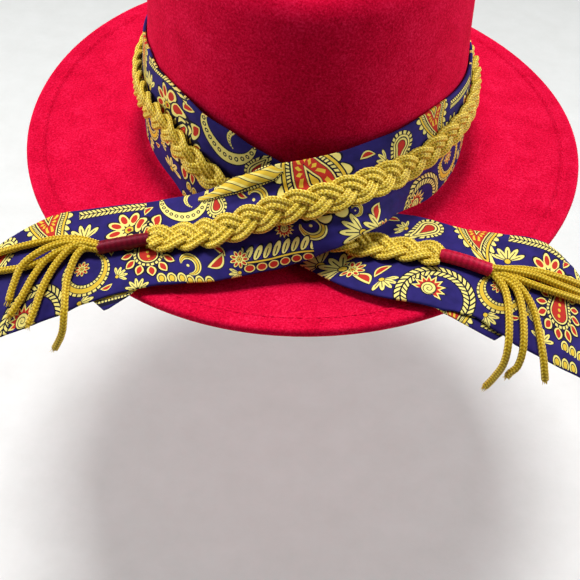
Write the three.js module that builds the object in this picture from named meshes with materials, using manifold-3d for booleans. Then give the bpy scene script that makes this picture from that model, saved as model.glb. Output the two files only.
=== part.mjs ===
// Felt fedora with a scarf wound round the crown, a braided gold cord on the scarf and a tassel at each end
// of the cord.
// Millimetres, +Z up. The front of the hat faces +Y, and the scarf crosses at the back, which faces -Y.
// The origin is the middle of the head opening, level with the brim's edge.

import * as THREE from "three";
import { mergeVertices } from "three/addons/utils/BufferGeometryUtils.js";
import Module from "manifold-3d";

const wasm = await Module();
wasm.setup();

// Driving dimensions
const FELT_THICKNESS = 2.4;
const BRIM_HALF_WIDTH = 163;
const BRIM_HALF_LENGTH = 176;
const BRIM_FOOT_HEIGHT = 3; // the brim falls this far from the crown to its edge
const BRIM_SWAY = 5.7; // one diagonal of the brim stands above the other
const WELT_RISE = 1.6; // the edge of the brim is turned over and stitched down on top
const FELT_COLUMNS = 52; // facets round the hat

const SCARF_THICKNESS = 2.4;
const SCARF_GAP = 0.8; // between the scarf and what it lies on
const SCARF_ACROSS = 4; // facets across the scarf
const SCARF_STEPS = 2; // sections from one station to the next
const TAIL_BULGE = 2.5; // how far the scarf's middle stands above its edges
const CROWN_BULGE = 1.3;

const STRAND_HALF_WIDTH = 2.5;
const STRAND_HALF_HEIGHT = 1.3;
const STRAND_SIDES = 5;
const BRAID_SWING = 5.2; // sideways from the middle of the braid
const BRAID_LIFT = 2.55; // up and down as the strands cross
const BRAID_PITCH = 38; // length in which a strand swings once to each side
const BRAID_STEPS = 8; // sections in one pitch
const LINE_SAMPLES = 1200;
const BRAID_GAP = 0.6; // between the braid and the scarf

const WRAP_RADIUS = 3.6;
const WRAP_LENGTH = 25;
const WRAP_RIBS = 5;
const WRAP_RIB_DEPTH = 0.25;
const JOINT_GAP = 0.55; // braid to wrap and wrap to tassel
const TASSEL_HEAD_RADIUS = 3.3;
const TASSEL_HEAD_LENGTH = 6;
const TASSEL_ROOT = 2.5; // the cords start this far inside the head
const TASSEL_CORD_RADIUS = 1.9;
const TASSEL_SIDES = 5;
const TASSEL_STEPS = 9;
const ROUND_SIDES = 8;

// Outer wall of the crown, from its foot to its top
const CROWN_ROWS = [
  { z: 7, halfWidth: 91.5, halfLength: 104.5 },
  { z: 30, halfWidth: 91, halfLength: 104 },
  { z: 55, halfWidth: 90, halfLength: 103 },
  { z: 80, halfWidth: 88.3, halfLength: 101.3 },
  { z: 106, halfWidth: 87.2, halfLength: 100.2 },
  { z: 126, halfWidth: 85, halfLength: 98 },
  { z: 138, halfWidth: 77.5, halfLength: 90.5 },
  { z: 144.5, halfWidth: 62, halfLength: 75 },
  { z: 147.3, halfWidth: 40, halfLength: 51 },
  { z: 148, halfWidth: 18, halfLength: 24 },
];
const CROWN_TOP = 148;
const CROWN_FOOT = { halfWidth: 91.5, halfLength: 104.5 };
const CREASE = { depth: 24, halfWidth: 26, wallStart: 106, wallEnd: 144 };
const CREASE_ENDS = { back: -80, front: 80, fade: 34 };
const PINCH = { depth: 13, x: 59, y: 69, z: 124, reach: 28, height: 23 };

// Brim from the crown outwards: share of its width, and height above its middle surface
const BRIM_TOP_ROWS = [
  { share: 0.022, rise: 2.4 },
  { share: 0.1, rise: 1.2 },
  { share: 0.36, rise: 1.2 },
  { share: 0.62, rise: 1.2 },
  { share: 0.835, rise: 1.2 },
  { share: 0.852, rise: 1.2 + WELT_RISE },
  { share: 0.978, rise: 1.1 + WELT_RISE },
  { share: 1, rise: WELT_RISE / 2 },
];
const BRIM_UNDER_ROWS = [
  { share: 0.978, rise: -1.1 },
  { share: 0.62, rise: -1.2 },
  { share: 0.3, rise: -1.2 },
  { share: 0.04, rise: -1 },
];

// Edges of the scarf where it leaves the crown: upper and lower edge of each section
const RIGHT_TAIL_ROWS = [
  { upper: [160, -124, -14], lower: [154, -180, -28] },
  { upper: [150, -120, -6], lower: [142, -177, -20.5] },
  { upper: [141, -116.5, 4], lower: [130, -175.5, -15] },
  { upper: [130, -111.5, 10], lower: [114, -172, -8] },
  { upper: [118, -110.5, 13], lower: [97.5, -169.5, -2] },
  { upper: [103, -108.5, 13], lower: [84, -167.5, 4.5] },
  { upper: [88.5, -106.5, 12.5], lower: [71, -163.5, 9.3] },
  { upper: [74, -101, 11], lower: [57, -158.5, 9] },
  { upper: [60, -96.5, 10.5], lower: [41, -154.5, 8] },
];
const UNDER_CROSSING_ROWS = [
  { upper: [45, -99.5, 15], lower: [23, -147, 7] },
  { upper: [27, -104.6, 26], lower: [5, -135, 6.4] },
  { upper: [4, -106.4, 38], lower: [-15, -121, 6.2] },
  { upper: [-18, -103.8, 49], lower: [-36, -106, 6.4] },
  { upper: [-36, -97.2, 59.5], lower: [-51, -94, 6.8] },
  { upper: [-52, -87.5, 67.5], lower: [-60, -87, 7.6] },
];
const OVER_CROSSING_ROWS = [
  { upper: [48, -90.2, 61], lower: [56, -93.5, 13] },
  { upper: [35, -98.2, 59.5], lower: [48, -111.5, 20] },
  { upper: [18, -107, 57.5], lower: [39, -128, 23.8] },
  { upper: [0, -112.5, 55.5], lower: [21, -139.5, 20] },
  { upper: [-15, -113.5, 52], lower: [3, -140.5, 14] },
  { upper: [-29, -113.5, 43.5], lower: [-15, -143, 11] },
  { upper: [-41.5, -110.5, 34], lower: [-32, -149, 7.5] },
  { upper: [-53, -104.5, 24], lower: [-45, -152.5, 5.8] },
];
const LEFT_TAIL_ROWS = [
  { upper: [-66, -100, 17], lower: [-57, -154.5, 4.8] },
  { upper: [-80, -99, 14], lower: [-71, -157, 4] },
  { upper: [-95, -101.5, 13], lower: [-85, -160.5, 1.5] },
  { upper: [-110, -105.5, 12.5], lower: [-100, -162.5, -3.5] },
  { upper: [-124, -110.5, 12], lower: [-116, -164, -9] },
  { upper: [-139, -117, 8], lower: [-131, -166.5, -14] },
  { upper: [-154, -122.5, 0], lower: [-146.5, -168.5, -20] },
  { upper: [-166, -127.5, -9], lower: [-160, -172, -27] },
];
// Edges of the scarf on the crown: degrees from the back by way of the left and the front, height of the
// upper and the lower edge, and how far the lower edge stands out
const CROWN_COURSE = [
  { angle: 47, top: 72.5, foot: 8.5, flare: 0.8 },
  { angle: 62, top: 70.5, foot: 9, flare: 0 },
  { angle: 85, top: 64, foot: 8.5, flare: 0 },
  { angle: 120, top: 59, foot: 7.8, flare: 0 },
  { angle: 180, top: 57.5, foot: 7.8, flare: 0 },
  { angle: 250, top: 57.5, foot: 7.8, flare: 0 },
  { angle: 285, top: 58.5, foot: 7.8, flare: 1 },
  { angle: 313, top: 62.5, foot: 8, flare: 3 },
];
const CROWN_STATIONS = 21;

// Where the braid lies: share of the scarf passed from its right end, and share of its width from the top
const BRAID_COURSE = [
  { passed: 0, across: 0.48 },
  { passed: 0.12, across: 0.5 },
  { passed: 0.22, across: 0.56 },
  { passed: 0.3, across: 0.46 },
  { passed: 0.48, across: 0.48 },
  { passed: 0.66, across: 0.34 },
  { passed: 0.72, across: 0.42 },
  { passed: 0.775, across: 0.41 },
  { passed: 0.83, across: 0.475 },
  { passed: 0.88, across: 0.505 },
  { passed: 1, across: 0.44 },
];
const RIGHT_WRAP_X = 72; // inner ends of the two wraps
const LEFT_WRAP_X = -75;

// Tassel cords: length along the tail from the wrap, share of the scarf's width from its upper edge, height
// above the scarf, and drop below it where a cord hangs past its lower edge
const RIGHT_TASSEL = [
  [[10, 0.41, 2.8, 0], [20, 0.36, 2.6, 0], [37, 0.3, 2.6, 0], [52, 0.21, 2.6, 0], [62, 0.12, 2.6, 0]],
  [[10, 0.44, 4, 0], [22, 0.4, 2.8, 0], [37, 0.37, 2.6, 0], [51, 0.3, 2.6, 0], [61, 0.22, 2.6, 0]],
  [[9, 0.48, 2.8, 0], [26, 0.48, 2.6, 0], [40, 0.43, 2.6, 0], [51, 0.37, 2.6, 0], [59, 0.32, 2.6, 0]],
  [[9, 0.62, 3, 0], [18, 0.98, 3.8, 0], [20, 1.1, 1.5, 8], [18, 1.1, 0, 22], [14, 1.1, 0, 35]],
  [[14, 0.58, 3.4, 0], [25, 0.98, 3.8, 0], [26, 1.1, 1.5, 7], [24, 1.1, 0, 17], [23, 1.1, 0, 23]],
  [[10, 0.51, 3.4, 0], [24, 0.66, 3, 0], [34, 0.98, 3.8, 0], [37, 1.1, 1.5, 8], [38, 1.1, 0, 14]],
];
const LEFT_TASSEL = [
  [[10, 0.34, 2.6, 0], [22, 0.28, 2.6, 0], [38, 0.22, 2.6, 0], [55, 0.14, 2.6, 0], [63, 0.1, 2.6, 0]],
  [[12, 0.39, 5.5, 0], [24, 0.37, 5.6, 0], [38, 0.43, 4.6, 0], [44, 0.58, 3.2, 0], [48, 0.73, 2.6, 0]],
  [[12, 0.43, 2.6, 0], [24, 0.45, 2.6, 0], [38, 0.44, 2.6, 0], [53, 0.36, 2.6, 0], [61, 0.31, 2.6, 0]],
  [[11, 0.43, 5, 0], [25, 0.45, 3.4, 0], [33, 0.56, 2.6, 0], [41, 0.74, 2.6, 0], [48, 0.87, 2.6, 0]],
  [[9, 0.42, 5.6, 0], [19, 0.5, 3.6, 0], [28, 0.69, 2.6, 0], [33, 0.88, 3, 0], [37, 1.01, 3.6, 0]],
  [[8, 0.48, 4.4, 0], [15, 0.68, 3, 0], [17, 0.98, 3.8, 0], [20, 1.1, 1.5, 6], [27, 1.1, 0, 18]],
];

const COLOURS = { felt: 0xd8082f, scarf: 0x231d6b, gold: 0xc9a63a, thread: 0x6d1020 };

const vector = (point) => new THREE.Vector3(...point);
const lerp = THREE.MathUtils.lerp;
const smoothstep = THREE.MathUtils.smoothstep;

function material(colour, roughness, metalness) {
  return new THREE.MeshStandardMaterial({ color: colour, roughness, metalness });
}

// A closed body from rings of equally many points, each end closed by a fan to a middle point.
function ringBody(rings, firstEnd, lastEnd) {
  const points = [...rings.flat(), firstEnd, lastEnd];
  const count = rings[0].length;
  const first = points.length - 2;
  const last = points.length - 1;
  const faces = [];
  for (let side = 0; side < count; side++) {
    const next = (side + 1) % count;
    for (let row = 0; row + 1 < rings.length; row++) {
      const [a, b] = [row * count + side, row * count + next];
      faces.push(a, b, b + count, a, b + count, a + count);
    }
    const end = (rings.length - 1) * count;
    faces.push(first, next, side, last, end + side, end + next);
  }
  const geometry = new THREE.BufferGeometry().setFromPoints(points);
  geometry.setIndex(faces);
  return signedVolume(geometry) < 0 ? flipped(geometry) : geometry;
}

function signedVolume(geometry) {
  const position = geometry.getAttribute("position");
  const [a, b, c] = [0, 1, 2].map(() => new THREE.Vector3());
  let sum = 0;
  for (let i = 0; i < geometry.index.count; i += 3) {
    [a, b, c].forEach((corner, k) => corner.fromBufferAttribute(position, geometry.index.getX(i + k)));
    sum += a.dot(b.cross(c)) / 6;
  }
  return sum;
}

function flipped(geometry) {
  const index = geometry.index.array;
  for (let i = 0; i < index.length; i += 3) [index[i + 1], index[i + 2]] = [index[i + 2], index[i + 1]];
  return geometry;
}

function middle(points) {
  const sum = new THREE.Vector3();
  points.forEach((point) => sum.add(point));
  return sum.divideScalar(points.length);
}

// Felt: crown and brim in one piece

function crownDent(point) {
  const wall = smoothstep(point.z, CREASE.wallStart, CREASE.wallEnd);
  const { back, front, fade } = CREASE_ENDS;
  const begun = smoothstep(point.y, back - fade, back + fade);
  const ended = smoothstep(point.y, front - fade, front + fade);
  const crease = CREASE.depth * wall * (begun - ended) * Math.exp(-((point.x / CREASE.halfWidth) ** 2));
  const dent = new THREE.Vector3(0, 0, -crease);
  for (const side of [-1, 1]) {
    const away = Math.hypot(point.x - side * PINCH.x, point.y - PINCH.y) / PINCH.reach;
    const up = (point.z - PINCH.z) / PINCH.height;
    const push = PINCH.depth * Math.exp(-away * away - up * up);
    dent.add(new THREE.Vector3(-side * PINCH.x, -PINCH.y, 0).setLength(push));
  }
  return dent;
}

function crownPoint(row, angle, inset) {
  const before = CROWN_ROWS[Math.max(row - 1, 0)];
  const after = CROWN_ROWS[Math.min(row + 1, CROWN_ROWS.length - 1)];
  const { z, halfWidth, halfLength } = CROWN_ROWS[row];
  const slope = new THREE.Vector2(after.z - before.z, before.halfWidth - after.halfWidth).normalize();
  const at = (depth) =>
    new THREE.Vector3(
      (halfWidth - depth * slope.x) * Math.cos(angle),
      (halfLength - depth * slope.x) * Math.sin(angle),
      z - depth * slope.y,
    );
  return at(inset).add(crownDent(at(0)));
}

function brimPoint({ share, rise }, angle) {
  const x = lerp(CROWN_FOOT.halfWidth, BRIM_HALF_WIDTH, share) * Math.cos(angle);
  const y = lerp(CROWN_FOOT.halfLength, BRIM_HALF_LENGTH, share) * Math.sin(angle);
  const sway = (-BRIM_SWAY * x * y * share) / BRIM_HALF_WIDTH ** 2;
  return new THREE.Vector3(x, y, BRIM_FOOT_HEIGHT * (1 - share) ** 1.5 + sway + rise);
}

function feltBody() {
  const angles = Array.from({ length: FELT_COLUMNS }, (_, i) => (2 * Math.PI * i) / FELT_COLUMNS);
  const crown = (inset) => CROWN_ROWS.map((_, row) => angles.map((angle) => crownPoint(row, angle, inset)));
  const brim = (rows) => rows.map((row) => angles.map((angle) => brimPoint(row, angle)));
  const rings = [
    ...crown(0).reverse(),
    ...brim(BRIM_TOP_ROWS),
    ...brim(BRIM_UNDER_ROWS),
    ...crown(FELT_THICKNESS),
  ];
  const top = new THREE.Vector3(0, 0, CROWN_TOP);
  const dented = top.clone().add(crownDent(top));
  return ringBody(rings, dented, dented.clone().setZ(dented.z - FELT_THICKNESS));
}

// Scarf: one folded strip from the right tail, under the crossing, round the crown and over to the left

function wallPoint(angle, z, away) {
  const above = Math.max(1, CROWN_ROWS.findIndex((row) => row.z >= z));
  const [low, high] = [CROWN_ROWS[above - 1], CROWN_ROWS[above]];
  const share = (z - low.z) / (high.z - low.z);
  const halfWidth = lerp(low.halfWidth, high.halfWidth, share) + away;
  const halfLength = lerp(low.halfLength, high.halfLength, share) + away;
  return new THREE.Vector3(halfWidth * Math.sin(angle), -halfLength * Math.cos(angle), z);
}

// A value of a table at a place between its rows
function between(rows, key, value, place) {
  const next = Math.max(1, rows.findIndex((row) => row[key] >= place));
  const [from, to] = [rows[next - 1], rows[next]];
  return lerp(from[value], to[value], smoothstep(place, from[key], to[key]));
}

function crownStation(degrees) {
  const away = SCARF_GAP + SCARF_THICKNESS / 2;
  const angle = THREE.MathUtils.degToRad(-degrees);
  const [top, foot, flare] = ["top", "foot", "flare"].map((value) =>
    between(CROWN_COURSE, "angle", value, degrees),
  );
  return { upper: wallPoint(angle, top, away), lower: wallPoint(angle, foot, away + flare) };
}

function scarfStations() {
  const edge = ({ upper, lower }) => ({ upper: vector(upper), lower: vector(lower) });
  const [start, end] = [CROWN_COURSE[0].angle, CROWN_COURSE[CROWN_COURSE.length - 1].angle];
  const crown = Array.from({ length: CROWN_STATIONS }, (_, i) =>
    crownStation(lerp(start, end, i / (CROWN_STATIONS - 1))),
  );
  return [
    ...RIGHT_TAIL_ROWS.map(edge),
    ...UNDER_CROSSING_ROWS.map(edge),
    ...crown,
    ...OVER_CROSSING_ROWS.map(edge),
    ...LEFT_TAIL_ROWS.map(edge),
  ];
}

const STATIONS = scarfStations();
const UPPER_EDGE = new THREE.CatmullRomCurve3(STATIONS.map((station) => station.upper));
const LOWER_EDGE = new THREE.CatmullRomCurve3(STATIONS.map((station) => station.lower));
const ON_CROWN = [RIGHT_TAIL_ROWS.length + UNDER_CROSSING_ROWS.length, CROWN_STATIONS].map(
  (count) => count / (STATIONS.length - 1),
);

// The scarf's middle surface: a point, the way out of it and the way along it
function scarfAt(passed, across) {
  const inside = THREE.MathUtils.clamp(passed, 0, 1);
  const point = (u, v) => UPPER_EDGE.getPoint(u).lerp(LOWER_EDGE.getPoint(u), v);
  const [back, ahead] = [Math.max(inside - 0.002, 0), Math.min(inside + 0.002, 1)];
  const along = point(ahead, across).sub(point(back, across)).normalize();
  const down = point(inside, 1).sub(point(inside, 0)).normalize();
  const normal = along.clone().cross(down).normalize();
  const tail = Math.max(
    1 - smoothstep(inside, ON_CROWN[0] - 0.14, ON_CROWN[0]),
    smoothstep(inside, ON_CROWN[0] + ON_CROWN[1], ON_CROWN[0] + ON_CROWN[1] + 0.14),
  );
  const lift = lerp(CROWN_BULGE, TAIL_BULGE, tail) * 4 * across * (1 - across);
  return { point: point(inside, across).addScaledVector(normal, lift), normal, along };
}

function scarfBand() {
  const sections = (STATIONS.length - 1) * SCARF_STEPS;
  const shares = Array.from({ length: SCARF_ACROSS + 1 }, (_, i) => i / SCARF_ACROSS);
  const rings = [];
  for (let i = 0; i <= sections; i++) {
    const face = (side) =>
      shares.map((share) => {
        const { point, normal } = scarfAt(i / sections, share);
        return point.addScaledVector(normal, (side * SCARF_THICKNESS) / 2);
      });
    rings.push([...face(1), ...face(-1).reverse()]);
  }
  return ringBody(rings, middle(rings[0]), middle(rings[rings.length - 1]));
}

// Braid: three strands on a line that follows the scarf

// Points along the braid's middle line, with the length run so far
function braidLine() {
  const height = SCARF_THICKNESS / 2 + BRAID_GAP + BRAID_LIFT + STRAND_HALF_HEIGHT;
  const line = [];
  for (let i = 0; i <= LINE_SAMPLES; i++) {
    const passed = i / LINE_SAMPLES;
    const { point, normal, along } = scarfAt(passed, between(BRAID_COURSE, "passed", "across", passed));
    const place = point.addScaledVector(normal, height);
    const run = i ? line[i - 1].run + place.distanceTo(line[i - 1].place) : 0;
    line.push({ place, normal, along, run });
  }
  return line;
}

const LINE = braidLine();
const runWhere = (test) => LINE.find(test).run;
const BRAID_START = runWhere(({ place }) => place.x < RIGHT_WRAP_X);
const HALF_RUN = LINE[LINE_SAMPLES].run / 2;
const BRAID_END = runWhere(({ place, run }) => run > HALF_RUN && place.x < LEFT_WRAP_X);

function lineAt(run) {
  const next = Math.max(1, LINE.findIndex((sample) => sample.run >= run));
  const [from, to] = [LINE[next - 1], LINE[next]];
  const share = (run - from.run) / (to.run - from.run);
  const along = from.along.clone().lerp(to.along, share).normalize();
  const normal = from.normal.clone().lerp(to.normal, share);
  normal.addScaledVector(along, -normal.dot(along)).normalize();
  const place = from.place.clone().lerp(to.place, share);
  return { place, along, normal, side: along.clone().cross(normal) };
}

function strandCentre(run, phase) {
  const { place, normal, side } = lineAt(run);
  const swing = (2 * Math.PI * (run - BRAID_START)) / BRAID_PITCH + phase;
  return {
    centre: place
      .addScaledVector(side, BRAID_SWING * Math.sin(swing))
      .addScaledVector(normal, BRAID_LIFT * Math.sin(2 * swing)),
    normal,
  };
}

function braidStrand(phase) {
  const steps = Math.round(((BRAID_END - BRAID_START) / BRAID_PITCH) * BRAID_STEPS);
  const nudge = 0.5;
  const rings = [];
  for (let i = 0; i <= steps; i++) {
    const run = lerp(BRAID_START, BRAID_END, i / steps);
    const { centre, normal } = strandCentre(run, phase);
    const [before, after] = [-nudge, nudge].map((shift) => strandCentre(run + shift, phase).centre);
    const swung = after.sub(before).normalize();
    const ahead = i % steps ? swung : lineAt(run).along;
    const side = ahead.clone().cross(normal).normalize();
    const up = side.clone().cross(ahead);
    rings.push(
      Array.from({ length: STRAND_SIDES }, (_, k) => {
        const turn = (2 * Math.PI * (k + 0.5)) / STRAND_SIDES;
        return centre
          .clone()
          .addScaledVector(side, STRAND_HALF_WIDTH * Math.cos(turn))
          .addScaledVector(up, STRAND_HALF_HEIGHT * Math.sin(turn));
      }),
    );
  }
  return ringBody(rings, middle(rings[0]), middle(rings[rings.length - 1]));
}

// Ends of the braid: a thread wrap, then a tassel of six cords on a short head

function roundBody(curve, radii, sides) {
  const steps = radii.length - 1;
  const path = curve.getSpacedPoints(steps);
  const { normals, binormals } = curve.computeFrenetFrames(steps);
  const rings = path.map((place, i) =>
    Array.from({ length: sides }, (_, k) => {
      const turn = (2 * Math.PI * k) / sides;
      return place
        .clone()
        .addScaledVector(normals[i], radii[i] * Math.cos(turn))
        .addScaledVector(binormals[i], radii[i] * Math.sin(turn));
    }),
  );
  return ringBody(rings, path[0], path[steps]);
}

// The braid's middle line from one length run to another
function lineCurve(from, to) {
  const shares = [0, 0.25, 0.5, 0.75, 1];
  return new THREE.CatmullRomCurve3(shares.map((share) => lineAt(lerp(from, to, share)).place));
}

function threadWrap(from, outwards) {
  const rows = 2 * WRAP_RIBS + 1;
  const radii = Array.from({ length: rows }, (_, i) => WRAP_RADIUS - (i % 2 ? 0 : WRAP_RIB_DEPTH));
  const start = from + outwards * JOINT_GAP;
  return roundBody(lineCurve(start, start + outwards * WRAP_LENGTH), radii, ROUND_SIDES);
}

function solidOf(geometry) {
  const merged = mergeVertices(geometry, 1e-4);
  return new wasm.Manifold(
    new wasm.Mesh({
      numProp: 3,
      vertProperties: merged.getAttribute("position").array,
      triVerts: new Uint32Array(merged.index.array),
    }),
  );
}

function geometryOf(solid) {
  const mesh = solid.getMesh();
  return new THREE.BufferGeometry()
    .setAttribute("position", new THREE.BufferAttribute(mesh.vertProperties, 3))
    .setIndex(new THREE.BufferAttribute(mesh.triVerts, 1));
}

function tasselCord(start, outwards, rows) {
  const points = rows.map(([reach, across, height, drop]) => {
    const passed = LINE.findIndex((sample) => sample.run >= start + outwards * reach) / LINE_SAMPLES;
    const { point, normal } = scarfAt(passed, across);
    return point.addScaledVector(normal, SCARF_THICKNESS / 2 + height).add(new THREE.Vector3(0, 0, -drop));
  });
  const curve = new THREE.CatmullRomCurve3([lineAt(start + outwards * TASSEL_ROOT).place, ...points]);
  return roundBody(curve, Array(TASSEL_STEPS + 1).fill(TASSEL_CORD_RADIUS), TASSEL_SIDES);
}

function tassel(from, outwards, cords) {
  const start = from + outwards * (WRAP_LENGTH + 2 * JOINT_GAP);
  const headCurve = lineCurve(start, start + outwards * TASSEL_HEAD_LENGTH);
  const headRadii = [TASSEL_HEAD_RADIUS, TASSEL_HEAD_RADIUS, TASSEL_CORD_RADIUS];
  const head = roundBody(headCurve, headRadii, ROUND_SIDES);
  return geometryOf(
    cords.reduce((joined, rows) => joined.add(solidOf(tasselCord(start, outwards, rows))), solidOf(head)),
  );
}

const felt = material(COLOURS.felt, 0.95, 0);
const cloth = material(COLOURS.scarf, 0.8, 0);
const gold = material(COLOURS.gold, 0.5, 0.25);
const thread = material(COLOURS.thread, 0.55, 0);

const PIECES = [
  ["felt_body", feltBody(), felt],
  ["scarf_band", scarfBand(), cloth],
  ...[0, 1, 2].map((k) => [`braid_strand_${k + 1}`, braidStrand((2 * Math.PI * k) / 3), gold]),
  ["thread_wrap_right", threadWrap(BRAID_START, -1), thread],
  ["thread_wrap_left", threadWrap(BRAID_END, 1), thread],
  ["tassel_right", tassel(BRAID_START, -1, RIGHT_TASSEL), gold],
  ["tassel_left", tassel(BRAID_END, 1, LEFT_TASSEL), gold],
];

const fedora = new THREE.Group();
for (const [name, geometry, finish] of PIECES) {
  const mesh = new THREE.Mesh(geometry, finish);
  mesh.name = name;
  fedora.add(mesh);
}

export default fedora;
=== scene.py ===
import bpy
import math
import numpy as np
from mathutils import Matrix, Vector


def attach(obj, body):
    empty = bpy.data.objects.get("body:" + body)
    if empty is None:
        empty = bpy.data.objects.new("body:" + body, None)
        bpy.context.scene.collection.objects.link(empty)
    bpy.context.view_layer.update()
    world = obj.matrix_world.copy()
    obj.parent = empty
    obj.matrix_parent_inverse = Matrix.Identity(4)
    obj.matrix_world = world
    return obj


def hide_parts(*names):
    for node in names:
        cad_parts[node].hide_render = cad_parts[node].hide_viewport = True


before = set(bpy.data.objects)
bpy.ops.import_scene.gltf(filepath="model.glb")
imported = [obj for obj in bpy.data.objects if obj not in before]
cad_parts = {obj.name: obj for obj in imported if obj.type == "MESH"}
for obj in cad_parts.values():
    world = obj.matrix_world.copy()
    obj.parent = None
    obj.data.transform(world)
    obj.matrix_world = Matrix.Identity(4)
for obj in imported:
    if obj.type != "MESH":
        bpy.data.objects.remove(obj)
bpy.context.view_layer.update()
rng = np.random.default_rng(11)
mm = 0.001  # the shapes below are in millimetres
fullTurn = 2 * math.pi


# helpers for shapes

def smooth(value, start, end):
    t = np.clip((np.asarray(value, float) - start) / (end - start), 0, 1)
    return t * t * (3 - 2 * t)


def unit(v):
    return v / np.maximum(np.linalg.norm(v, axis=-1, keepdims=True), 1e-9)


def squareTo(v, axis):
    return unit(v - axis * np.sum(v * axis, -1, keepdims=True))


def curveThrough(points, shares):
    # smooth curve through points that need not be evenly spaced
    p = np.asarray(points, float)
    p = np.vstack([2 * p[0] - p[1], p, 2 * p[-1] - p[-2]])
    count = len(p) - 3
    place = np.clip(np.asarray(shares, float), 0, 1) * count
    i = np.minimum(place.astype(int), count - 1)
    w = (place - i)[:, None]
    p0, p1, p2, p3 = p[i], p[i + 1], p[i + 2], p[i + 3]
    legs = ((p0, p1), (p1, p2), (p2, p3))
    d0, d1, d2 = (np.sqrt(np.linalg.norm(b - a, axis=1))[:, None] + 1e-6 for a, b in legs)
    m1 = d1 * ((p1 - p0) / d0 - (p2 - p0) / (d0 + d1) + (p2 - p1) / d1)
    m2 = d1 * ((p2 - p1) / d1 - (p3 - p1) / (d1 + d2) + (p3 - p2) / d2)
    bend, twist = -3 * p1 + 3 * p2 - 2 * m1 - m2, 2 * p1 - 2 * p2 + m1 + m2
    return p1 + w * (m1 + w * (bend + w * twist))


def runLength(line):
    return np.concatenate([[0], np.cumsum(np.linalg.norm(np.diff(line, axis=0), axis=1))])


def pick(places, run, values):
    return np.stack([np.interp(places, run, values[:, k]) for k in range(values.shape[1])], 1)


def eased(rows, place):
    # rows of (place, value), eased from one row to the next
    at, value = np.array(rows, float).T
    i = np.clip(np.searchsorted(at, place), 1, len(at) - 1)
    t = smooth((place - at[i - 1]) / (at[i] - at[i - 1]), 0, 1)
    return value[i - 1] + (value[i] - value[i - 1]) * t


def tubeFaces(rings, sides):
    # quads between rings of points, with both ends closed
    r, s = np.meshgrid(np.arange(rings - 1), np.arange(sides), indexing="ij")
    n = (s + 1) % sides
    here, ahead = r * sides, (r + 1) * sides
    quads = np.stack([here + s, here + n, ahead + n, ahead + s], -1).reshape(-1, 4)
    last = (rings - 1) * sides
    return [*quads.tolist(), list(range(sides))[::-1], list(range(last, last + sides))]


def facingOut(points, faces):
    q = np.array([f for f in faces if len(f) == 4])
    a, b, c, d = (points[q[:, k]] for k in range(4))
    volume = np.sum(a * np.cross(b, c)) + np.sum(a * np.cross(c, d))
    return [f[::-1] for f in faces] if volume < 0 else faces


def makeMesh(name, points, faces, material, uv=None, knit=None):
    mesh = bpy.data.meshes.new(name)
    mesh.from_pydata((np.asarray(points, float) * mm).tolist(), [], faces)
    if uv is not None:
        corner = np.zeros(len(mesh.loops), int)
        mesh.loops.foreach_get("vertex_index", corner)
        mesh.uv_layers.new(name="flatMap").data.foreach_set("uv", np.asarray(uv, float)[corner].ravel())
    # this attribute carries painted shade in the pits and painted highlight on the tops of the threads
    if knit is not None:
        layer = mesh.attributes.new("knit", "FLOAT", "POINT")
        layer.data.foreach_set("value", np.asarray(knit, np.float32).ravel())
    mesh.polygons.foreach_set("use_smooth", [True] * len(mesh.polygons))
    mesh.materials.append(material)
    mesh.update()
    piece = bpy.data.objects.new(name, mesh)
    bpy.context.scene.collection.objects.link(piece)
    return piece


def makeTube(name, rings, material, nodes=(), uv=None, knit=None):
    points = rings.reshape(-1, 3)
    faces = facingOut(points, tubeFaces(*rings.shape[:2]))
    piece = makeMesh(name, points, faces, material, uv, knit)
    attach(piece, "root")
    if nodes:
        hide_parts(*nodes)
    return piece


def ringsRound(path, up, side, high, wide, turn):
    # rings of points round a path, high and wide are radii
    rise = (high * np.sin(turn))[..., None] * up[:, None]
    return path[:, None] + rise + (wide * np.cos(turn))[..., None] * side[:, None]


# helpers for materials

class Wire:
    # a value inside a node tree that can be used in a sum like a number
    def __init__(self, tree, socket):
        self.tree, self.socket = tree, socket

    def calc(self, operation, *others):
        node = self.tree.nodes.new("ShaderNodeMath")
        node.operation = operation
        for socket, value in zip(node.inputs, (self, *others)):
            plug(self.tree, value, socket)
        return Wire(self.tree, node.outputs[0])

    def __add__(self, other):
        return self.calc("ADD", other)

    def __sub__(self, other):
        return self.calc("SUBTRACT", other)

    def __mul__(self, other):
        return self.calc("MULTIPLY", other)

    def __truediv__(self, other):
        return self.calc("DIVIDE", other)

    def size(self):
        return self.calc("ABSOLUTE")

    def over(self, other):
        return self.calc("MAXIMUM", other)

    def rest(self):
        return (self * -1.0) + 1.0

    def below(self, limit):
        # 1 under the limit, 0 above it
        return self.calc("LESS_THAN", limit)

    def between(self, low, high):
        return self.calc("COMPARE", (low + high) / 2, (high - low) / 2)


def plug(tree, value, socket):
    if isinstance(value, Wire):
        tree.links.new(value.socket, socket)
    else:
        socket.default_value = value


def newMaterial(name):
    mat = bpy.data.materials.new(name)
    mat.use_nodes = True
    return mat, mat.node_tree, mat.node_tree.nodes["Principled BSDF"]


def texture(tree, kind, vector, output, **settings):
    node = tree.nodes.new(kind)
    plug(tree, vector, node.inputs["Vector"])
    for socket, value in settings.items():
        node.inputs[socket].default_value = value
    return Wire(tree, node.outputs[output])


def objectPlace(tree):
    return Wire(tree, tree.nodes.new("ShaderNodeTexCoord").outputs["Object"])


def noise(tree, scale, detail=2.0, roughness=0.5):
    where = objectPlace(tree)
    return texture(tree, "ShaderNodeTexNoise", where, "Fac", Scale=scale, Detail=detail, Roughness=roughness)


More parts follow.
